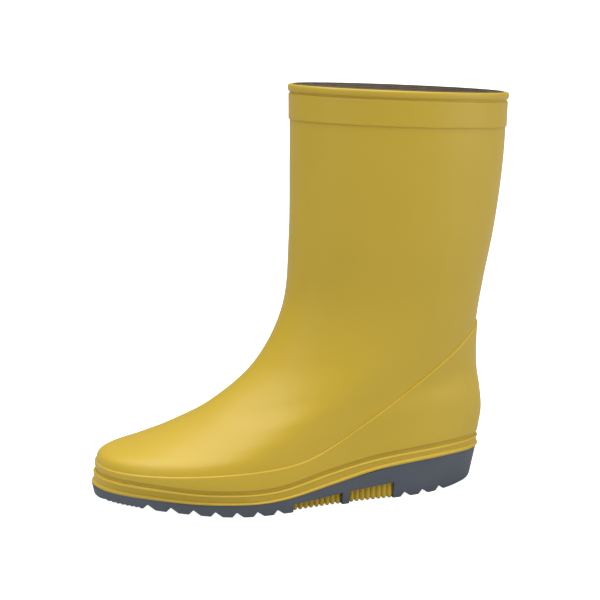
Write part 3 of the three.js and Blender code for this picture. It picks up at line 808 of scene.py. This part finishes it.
plain_steps = [s for s in np.linspace(0.02, 0.98, 22)
               if from_channel(s) >= CHANNEL_MOUTH - 0.001
               or 0.02 <= from_channel(s) <= CHANNEL_FLOOR + 0.002]
channel_steps = [centre + side for centre in CHANNELS
                 for side in (-CHANNEL_MOUTH, -CHANNEL_FLOOR, CHANNEL_FLOOR, CHANNEL_MOUTH)]
across_steps = np.sort(np.concatenate([plain_steps, channel_steps]))
cleated = sum(ease(nominal, *start) * (1 - ease(nominal, *stop))
              for start, stop in (HEEL_CHANNEL, FORE_CHANNEL))
tread_rows = []
for s in across_steps:
    row = outer_wall[-1] * (1 - s) + inner_wall[-1] * s
    depth = CHANNEL_DEPTH * cleated if from_channel(s) < CHANNEL_FLOOR + 0.001 else 0
    row[:, 2] = np.maximum(row[:, 2], np.minimum(tread_plain + depth, row[:, 2] + depth))
    tread_rows.append(row)
top_rows = cross_rows(inner_wall[0], outer_wall[0], TOP_ACROSS)[1:-1]
sole_rows = np.concatenate([outer_wall, np.array(tread_rows), inner_wall[::-1], top_rows])


def loop_mesh(name, rows, ends, sharp):
    """A skin over loops: rows has shape (round the loop, stations, 3)."""
    n, m = rows.shape[:2]
    faces = [(k * m + j, k * m + j + 1, (k + 1) % n * m + j + 1, (k + 1) % n * m + j)
             for k in range(n) for j in range(m - 1)]
    if ends:
        faces += [tuple(k * m for k in range(n)), tuple(k * m + m - 1 for k in range(n))]
    points = into_frame(rows)
    uvs = [(points[i][0], points[i][1]) for face in faces for i in face]
    return finish_mesh(name, points, faces, uvs, sharp)


outsole = report(loop_mesh("sole_moulded", sole_rows, ends=False, sharp=35))

# %% [markdown]
# ### Ribbed pads in the waist
# The two windows are filled with pads in the colour of the upper. Each has a row of ribs that
# run across the boot and up both sides, with round noses. One number, how far a station is
# up the rib, drives both the underside and the sides.

# %% Waist pads
PAD_RECESS, PAD_LIFT, RIB_DEPTH = 2.7, 0.3, 1.5
PAD_GAP, ROOF_TUCK = 0.15, 0.3           # to the window's ends, and up into its roof
PAD_CORNER, CORNER_SHARE = 0.9, 0.2
RIB_RUN_OUT = 0.16                       # share of the height over which a rib starts
RIB_CREST, RIB_FALL, RIB_FOOT = 1.9, 1.2, 0.7
PAD_ROWS = 18


def waist_pad(name, span, ribs):
    x0, x1 = span[0] + PAD_GAP, span[1] - PAD_GAP
    first = (span[0] + span[1] - (ribs - 1) * RIB_PITCH) / 2
    phase = np.linspace(-0.5, 0.5, 13)[:-1]
    xs = np.unique(np.concatenate([[x0, x1]] + [first + (k + phase) * RIB_PITCH
                                                for k in range(ribs)]))
    xs = xs[(xs >= x0) & (xs <= x1)]
    share = (xs - first) / RIB_PITCH
    from_rib = np.abs(share - np.round(share)) * 2
    up = np.clip(1 - RIB_FALL * from_rib**RIB_CREST, 0, 1) ** RIB_FOOT
    turns = np.array([turn_at(x) for x in xs])
    sides = []
    roof = window_roof(xs) + ROOF_TUCK
    low = PAD_LIFT + RIB_DEPTH * (1 - up)
    level = np.zeros(len(xs))
    for pad_turns in (turns, 2 * math.pi - turns):
        p, n = on_last(pad_turns, level), normals(pad_turns, level)
        rows = []
        for k in range(PAD_ROWS + 1):
            t = k / PAD_ROWS
            past = max(0, t - (1 - CORNER_SHARE)) / CORNER_SHARE
            corner = PAD_CORNER * (1 - math.sqrt(max(0, 1 - past**2)))
            plain = min(1, t / RIB_RUN_OUT) ** 1.5       # the ribs run out under the roof
            out = -PAD_RECESS - RIB_DEPTH * (1 - up) * plain - corner
            y = p[:, 1] + out / n[:, 1]
            rows.append(np.column_stack([xs, y, roof + (low - roof) * t]))
        sides.append(np.array(rows))
    under = cross_rows(sides[0][-1], sides[1][-1], 12)[1:-1]
    over = cross_rows(sides[1][0], sides[0][0], 4)[1:-1]
    rows = np.concatenate([sides[0], under, sides[1][::-1], over])
    return report(loop_mesh(name, rows, ends=True, sharp=50))


pad_rear = waist_pad("waist_pad_rear_ribbed", REAR_WINDOW, REAR_RIBS)
pad_front = waist_pad("waist_pad_front_ribbed", FRONT_WINDOW, FRONT_RIBS)

# %% [markdown]
# ## Shared surface effects
# Rubber, knit and board all need some of the same things: a slow drift of colour, a fine
# grain, a knit. Each is a node group with its own inputs, made once and used with other
# numbers in each material. A group gives out only colours, masks and heights; the shader
# itself stays in the material.

# %% Node helpers
def feed(tree, node, inputs):
    """Links each socket in inputs to the node, and sets each plain value on it."""
    for key, value in inputs.items():
        if isinstance(value, bpy.types.NodeSocket):
            tree.links.new(value, node.inputs[key])
        else:
            node.inputs[key].default_value = value
    return node


def new_node(tree, kind, **inputs):
    named = {key.replace("_", " "): value for key, value in inputs.items()}
    return feed(tree, tree.nodes.new(kind), named)


def calc(tree, operation, *values):
    node = tree.nodes.new("ShaderNodeMath")
    node.operation = operation
    return feed(tree, node, dict(enumerate(values))).outputs[0]


def mix_colour(tree, factor, a, b):
    node = tree.nodes.new("ShaderNodeMix")
    node.data_type = "RGBA"
    return feed(tree, node, {0: factor, 6: a, 7: b}).outputs[2]


def new_group(name, inputs, outputs):
    tree = bpy.data.node_groups.new(name, "ShaderNodeTree")
    for label, kind, default in inputs:
        socket = tree.interface.new_socket(label, in_out="INPUT", socket_type=kind)
        if default is not None:
            socket.default_value = default
    for label, kind in outputs:
        tree.interface.new_socket(label, in_out="OUTPUT", socket_type=kind)
    return tree, tree.nodes.new("NodeGroupInput"), tree.nodes.new("NodeGroupOutput")


def linear(r, g, b):
    """A colour from 0-255 values as the eye sees them."""
    out = []
    for c in (r / 255, g / 255, b / 255):
        out.append(c / 12.92 if c <= 0.04045 else ((c + 0.055) / 1.055) ** 2.4)
    return (*out, 1)


print("mid grey to the eye is", round(linear(128, 128, 128)[0], 3), "as light")

# %% [markdown]
# ### Drift and grain
# Drift is a slow change between two near colours. Grain is a height made of two sizes of
# noise. Both read the object's own coordinates, so they stay put when the boot turns.

# %% Colour drift and grain
def make_drift():
    """Slow drift between two colours, with a hint of finer cloud."""
    tree, inp, out = new_group(
        "colour_drift",
        [("Light", "NodeSocketColor", (1, 1, 1, 1)), ("Dark", "NodeSocketColor", (0, 0, 0, 1)),
         ("Scale", "NodeSocketFloat", 20.0), ("Contrast", "NodeSocketFloat", 1.0)],
        [("Color", "NodeSocketColor"), ("Mask", "NodeSocketFloat")])
    place = tree.nodes.new("ShaderNodeTexCoord")
    noise = new_node(tree, "ShaderNodeTexNoise", Vector=place.outputs["Object"],
                     Scale=inp.outputs["Scale"], Detail=3.0, Roughness=0.55)
    centred = calc(tree, "SUBTRACT", noise.outputs[0], 0.5)
    spread = calc(tree, "MULTIPLY_ADD", centred, inp.outputs["Contrast"], 0.5)
    mask = calc(tree, "MINIMUM", calc(tree, "MAXIMUM", spread, 0.0), 1.0)
    colour = mix_colour(tree, mask, inp.outputs["Dark"], inp.outputs["Light"])
    tree.links.new(colour, out.inputs["Color"])
    tree.links.new(mask, out.inputs["Mask"])
    return tree


def make_grain():
    """Fine moulded grain: a height from two sizes of noise."""
    tree, inp, out = new_group(
        "fine_grain",
        [("Scale", "NodeSocketFloat", 900.0), ("Coarse Share", "NodeSocketFloat", 0.4)],
        [("Height", "NodeSocketFloat")])
    place = tree.nodes.new("ShaderNodeTexCoord")
    fine = new_node(tree, "ShaderNodeTexNoise", Vector=place.outputs["Object"],
                    Scale=inp.outputs["Scale"], Detail=2.0)
    slow = calc(tree, "DIVIDE", inp.outputs["Scale"], 7.0)
    coarse = new_node(tree, "ShaderNodeTexNoise", Vector=place.outputs["Object"],
                      Scale=slow, Detail=1.0)
    part = calc(tree, "MULTIPLY", coarse.outputs[0], inp.outputs["Coarse Share"])
    tree.links.new(calc(tree, "ADD", fine.outputs[0], part), out.inputs["Height"])
    return tree


DRIFT, GRAIN = make_drift(), make_grain()
print("shared groups:", DRIFT.name, GRAIN.name)


# %% [markdown]
# ### Knit
# A plain knit is rows of small V's. The height is worked out from the laid-flat map: the
# distance from the middle of a column slants the rows, and two sine waves round the yarn.

# %% Knit
def make_knit():
    """Plain knit from the laid-flat map: columns of V-shaped stitches."""
    tree, inp, out = new_group(
        "plain_knit",
        [("Wale", "NodeSocketFloat", 0.0013), ("Course", "NodeSocketFloat", 0.0011)],
        [("Height", "NodeSocketFloat"), ("Yarn", "NodeSocketFloat")])
    uv = tree.nodes.new("ShaderNodeUVMap")
    uv.uv_map = "laid_flat"
    parts = new_node(tree, "ShaderNodeSeparateXYZ", Vector=uv.outputs[0])
    wobble = new_node(tree, "ShaderNodeTexNoise", Vector=uv.outputs[0], Scale=120.0, Detail=1.0)
    drift = calc(tree, "MULTIPLY_ADD", wobble.outputs[0], 0.5, -0.25)
    column = calc(tree, "ADD", calc(tree, "DIVIDE", parts.outputs[0], inp.outputs["Wale"]), drift)
    across = calc(tree, "ABSOLUTE", calc(tree, "SUBTRACT", calc(tree, "FRACT", column), 0.5))
    course = calc(tree, "DIVIDE", parts.outputs[1], inp.outputs["Course"])
    slanted = calc(tree, "FRACT", calc(tree, "ADD", course, calc(tree, "MULTIPLY", across, 1.3)))
    along = calc(tree, "SINE", calc(tree, "MULTIPLY", slanted, math.pi))
    leg = calc(tree, "SINE", calc(tree, "MULTIPLY", across, 2 * math.pi))
    height = calc(tree, "MULTIPLY", calc(tree, "POWER", along, 0.6), calc(tree, "POWER", leg, 0.5))
    tree.links.new(height, out.inputs["Height"])
    tree.links.new(calc(tree, "POWER", height, 1.5), out.inputs["Yarn"])
    return tree


KNIT = make_knit()
print("the knit gives:", [socket.name for socket in KNIT.interface.items_tree
                          if socket.in_out == "OUTPUT"])


# %% [markdown]
# ## Materials
# Each material starts from the same three steps: an empty material with its shader, a group
# placed in it, and a bump. The distance of a bump is its real height in metres.

# %% Material helpers
def use_group(tree, group, **inputs):
    node = tree.nodes.new("ShaderNodeGroup")
    node.node_tree = group
    return feed(tree, node, inputs)


def new_material(name):
    material = bpy.data.materials.new(name)
    material.use_nodes = True
    tree = material.node_tree
    return material, tree, tree.nodes["Principled BSDF"]


def add_bump(tree, shader, height, distance):
    bump = new_node(tree, "ShaderNodeBump", Height=height, Strength=1.0, Distance=distance)
    tree.links.new(bump.outputs[0], shader.inputs["Normal"])


print("drift takes:", [socket.name for socket in DRIFT.interface.items_tree
                       if socket.in_out == "INPUT"])


# %% [markdown]
# ### Yellow rubber
# Moulded rubber is satin: a broad, soft highlight, no mirror. Its colour is very even, with
# only a slight drift, and its grain is so fine that it shows as softness more than as bumps.

# %% Yellow rubber
POLISH_SPREAD = 0.06     # how much smoother the lighter patches are
GRAIN_SCALE = 1100.0     # about one speck in a millimetre


def moulded_rubber(name, light, dark, rough, grain_depth, drift_scale=9.0, contrast=1.6):
    material, tree, shader = new_material(name)
    drift = use_group(tree, DRIFT, Light=light, Dark=dark, Scale=drift_scale, Contrast=contrast)
    tree.links.new(drift.outputs["Color"], shader.inputs["Base Color"])
    polish = calc(tree, "MULTIPLY_ADD", drift.outputs["Mask"], -POLISH_SPREAD,
                  rough + POLISH_SPREAD / 2)
    tree.links.new(polish, shader.inputs["Roughness"])
    grain = use_group(tree, GRAIN, Scale=GRAIN_SCALE)
    add_bump(tree, shader, grain.outputs["Height"], grain_depth)
    shader.inputs["Specular IOR Level"].default_value = 0.45
    return material, shader


yellow, yellow_shader = moulded_rubber(
    "yellow_rubber", linear(201, 170, 46), linear(193, 163, 40), 0.46, 0.00004)
yellow_shader.inputs["Coat Weight"].default_value = 0.2
yellow_shader.inputs["Coat Roughness"].default_value = 0.38
print(yellow.name, "has", len(yellow.node_tree.nodes), "nodes")

# %% [markdown]
# ### Sole rubber
# The sole is a harder rubber with more filler: grey, duller, and a little blotchy. It is the
# same recipe with other numbers, and no coat.

# %% Grey sole rubber
grey, _ = moulded_rubber(
    "grey_sole_rubber", linear(90, 97, 108), linear(81, 88, 99), 0.55, 0.00006, 26.0, 2.0)
print(grey.name, "has", len(grey.node_tree.nodes), "nodes")


# %% [markdown]
# ### Knit of lining and insole
# Cloth has no highlight but a soft sheen at the edge of the view. The gaps between the yarns
# are darker than the yarn, which is what makes a knit readable from afar.

# %% Knit cloth
GAP_SHADE = 0.35


def knit_cloth(name, light, dark, wale, course, depth):
    material, tree, shader = new_material(name)
    knit = use_group(tree, KNIT, Wale=wale, Course=course)
    drift = use_group(tree, DRIFT, Light=light, Dark=dark, Scale=160.0, Contrast=2.2)
    shade = tuple(GAP_SHADE * c for c in dark[:3]) + (1,)
    colour = mix_colour(tree, knit.outputs["Yarn"], shade, drift.outputs["Color"])
    tree.links.new(colour, shader.inputs["Base Color"])
    shader.inputs["Roughness"].default_value = 0.95
    shader.inputs["Sheen Weight"].default_value = 0.25
    add_bump(tree, shader, knit.outputs["Height"], depth)
    return material


lining_cloth = knit_cloth("lining_knit", linear(182, 164, 142), linear(150, 132, 110),
                          0.0014, 0.0012, 0.0005)
insole_cloth = knit_cloth("insole_brushed_knit", linear(128, 122, 112), linear(104, 98, 90),
                          0.0009, 0.0008, 0.0002)
print("knits:", lining_cloth.name, insole_cloth.name)


# %% [markdown]
# ### What is hidden inside
# Stiffeners, board, fillers and shank never see daylight, but a cut-away view would show
# them, so they keep their CAD shapes and get a true finish too.

# %% Inner finishes
def pressed_stuff(name, light, dark, scale, contrast, rough, depth, metal=0.0):
    material, tree, shader = new_material(name)
    drift = use_group(tree, DRIFT, Light=light, Dark=dark, Scale=scale, Contrast=contrast)
    tree.links.new(drift.outputs["Color"], shader.inputs["Base Color"])
    shader.inputs["Roughness"].default_value = rough
    shader.inputs["Metallic"].default_value = metal
    grain = use_group(tree, GRAIN, Scale=scale * 4)
    add_bump(tree, shader, grain.outputs["Height"], depth)
    return material


stiffener = pressed_stuff("rubberised_cloth", linear(62, 58, 54), linear(40, 37, 34),
                          700.0, 3.0, 0.85, 0.0001)
board = pressed_stuff("fibre_board", linear(196, 172, 134), linear(158, 130, 92),
                      420.0, 3.5, 0.9, 0.0001)
cell_foam = pressed_stuff("cell_foam", linear(226, 218, 200), linear(196, 186, 166),
                          300.0, 3.0, 0.95, 0.0003)
shank_steel = pressed_stuff("shank_steel", linear(176, 180, 186), linear(138, 142, 148),
                            500.0, 2.0, 0.35, 0.00002, 1.0)
print("inner finishes:", [m.name for m in (stiffener, board, cell_foam, shank_steel)])

# %% [markdown]
# ## Put it together
# Each piece takes its material, rides on a CAD body, and hides the CAD solids it stands for.

# %% Bodies, slots and materials
PIECES = [
    (leg_skin, yellow, "boot", "upper_rubber", ["leg_shell"]),
    (side_panel, yellow, "boot", "upper_rubber", ["side_overlay"]),
    (foxing, yellow, "boot", "upper_rubber", ["foxing_strip"]),
    (welt, yellow, "boot", "upper_rubber", ["welt_bead"]),
    (band, yellow, "boot", "upper_rubber", ["top_band"]),
    (rim_bead, yellow, "boot", "upper_rubber", ["rim_bead"]),
    (leg_lining, lining_cloth, "boot", "lining_knit", ["lining_leg"]),
    (foot_lining, lining_cloth, "boot", "lining_knit", ["lining_foot"]),
    (outsole, grey, "boot", "sole_rubber", ["outsole"]),
    (pad_rear, yellow, "boot", "upper_rubber", ["waist_pad_rear"]),
    (pad_front, yellow, "boot", "upper_rubber", ["waist_pad_front"]),
    (insole, insole_cloth, "insole", "insole_cloth", ["insole"]),
]
for piece, material, body, slot, nodes in PIECES:
    piece.data.materials.clear()
    piece.data.materials.append(material)
    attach(piece, body)
    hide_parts(*nodes)

KEPT = {
    "toe_puff": stiffener, "heel_counter": stiffener,
    "ankle_patch_outer": stiffener, "ankle_patch_inner": stiffener,
    "insole_board": board, "heel_filler": cell_foam, "forefoot_filler": cell_foam,
    "shank": shank_steel,
}
for node_name, material in KEPT.items():
    node_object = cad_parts[node_name]
    node_object.data.materials.clear()
    node_object.data.materials.append(material)
print(len(PIECES), "pieces made,", len(KEPT), "CAD nodes kept")

# %% [markdown]
# ## Floor, light and camera
# A boot for a catalogue stands on white with no horizon. Floor and sky are white to the eye
# only: Light Path tells a look from the camera apart from light, so the brightness behind the
# boot does not wash out its sides. The floor still bounces light up under the boot.

# %% Floor and world
SKY_LIGHT = 0.25                                         # what the sky really sheds
world = bpy.data.worlds.new("studio")
bpy.context.scene.world = world
world.use_nodes = True
background = world.node_tree.nodes["Background"]
background.inputs[0].default_value = (1, 1, 1, 1)
backdrop = world.node_tree.nodes.new("ShaderNodeLightPath").outputs["Is Camera Ray"]
strength = calc(world.node_tree, "ADD", backdrop, SKY_LIGHT)
world.node_tree.links.new(strength, background.inputs[1])

FLOOR_HALF = 30
FLOOR_Z = -0.1 * MM                                      # just clear of the tread
floor_mesh = bpy.data.meshes.new("floor")
corners = [(x, y, FLOOR_Z) for x, y in (
    (-FLOOR_HALF, -FLOOR_HALF), (FLOOR_HALF, -FLOOR_HALF),
    (FLOOR_HALF, FLOOR_HALF), (-FLOOR_HALF, FLOOR_HALF))]
floor_mesh.from_pydata(corners, [], [(0, 1, 2, 3)])
floor = bpy.data.objects.new("floor", floor_mesh)
bpy.context.scene.collection.objects.link(floor)
floor_material, floor_tree, floor_shader = new_material("pale_floor")
floor_shader.inputs["Base Color"].default_value = (0.5, 0.5, 0.5, 1)
floor_shader.inputs["Emission Color"].default_value = (1, 1, 1, 1)
seen = floor_tree.nodes.new("ShaderNodeLightPath").outputs["Is Camera Ray"]
floor_tree.links.new(seen, floor_shader.inputs["Emission Strength"])
floor_shader.inputs["Roughness"].default_value = 0.9
floor_mesh.materials.append(floor_material)
print("the floor lies", FLOOR_Z / MM, "mm from the ground")


# %% [markdown]
# ### Lights
# Three lights shape the rubber. A wide bank overhead, made as a sun with a broad disc, lights
# the instep and leaves the upright leg darker. A soft box on either side, both on the outer
# side of the boot, wraps light round the leg: a strong one at the heel, a weak one at the toe.

# %% Lights
def soft_box(name, place, target, size, power):
    data = bpy.data.lights.new(name, "AREA")
    data.shape = "RECTANGLE"
    data.size, data.size_y = size
    data.energy = power
    light = bpy.data.objects.new(name, data)
    light.location = place
    light.rotation_mode = "QUATERNION"
    light.rotation_quaternion = (Vector(target) - Vector(place)).to_track_quat("-Z", "Y")
    bpy.context.scene.collection.objects.link(light)


def wide_sun(name, towards, strength, spread):
    data = bpy.data.lights.new(name, "SUN")
    data.energy = strength
    data.angle = math.radians(spread)
    light = bpy.data.objects.new(name, data)
    light.rotation_mode = "QUATERNION"
    light.rotation_quaternion = Vector(towards).to_track_quat("-Z", "Y")
    bpy.context.scene.collection.objects.link(light)


MID_BOOT, BOX_SIZE = (0, 0, 0.13), (0.8, 0.9)
wide_sun("ceiling_bank", (-0.1, -0.14, -1), 3.35, 75)
soft_box("toe_bank", (1.35, 0.85, 0.5), MID_BOOT, BOX_SIZE, 2.2)
soft_box("heel_bank", (-1.2, 0.85, 0.5), MID_BOOT, BOX_SIZE, 5)

# %% [markdown]
# ### Camera
# The camera stands on the outer side, swung eighteen degrees round to the toe and a little
# above the rim, with a long lens so that the boot keeps its proportions.

# %% Camera
YAW, TILT, PAN = math.radians(18.07), math.radians(-11.16), math.radians(-0.14)
DISTANCE, HEIGHT, AIM_X = 986.6, 327.2, 130
SENSOR, LENS = 36, 90.282

camera_data = bpy.data.cameras.new("camera")
camera_data.sensor_width = SENSOR
camera_data.lens = LENS
camera_data.clip_start, camera_data.clip_end = 0.05, 100
camera = bpy.data.objects.new("camera", camera_data)
bpy.context.scene.collection.objects.link(camera)
back = np.array([math.sin(YAW), math.cos(YAW)])
spot = np.array([AIM_X + DISTANCE * back[0], DISTANCE * back[1], HEIGHT])
ahead = -np.array([back[0] * math.cos(PAN) - back[1] * math.sin(PAN),
                   back[0] * math.sin(PAN) + back[1] * math.cos(PAN)])
forward = Vector((ahead[0] * math.cos(TILT), ahead[1] * math.cos(TILT), math.sin(TILT)))
right = forward.cross(Vector((0, 0, 1))).normalized()
up = right.cross(forward)
turned = Matrix((right, up, -forward)).transposed().to_4x4()
camera.matrix_world = Matrix.Translation(into_frame(spot)[0]) @ turned
bpy.context.scene.camera = camera
bpy.context.scene.view_settings.view_transform = "Standard"
print("the camera stands at", [round(v, 3) for v in camera.matrix_world.translation], "m")
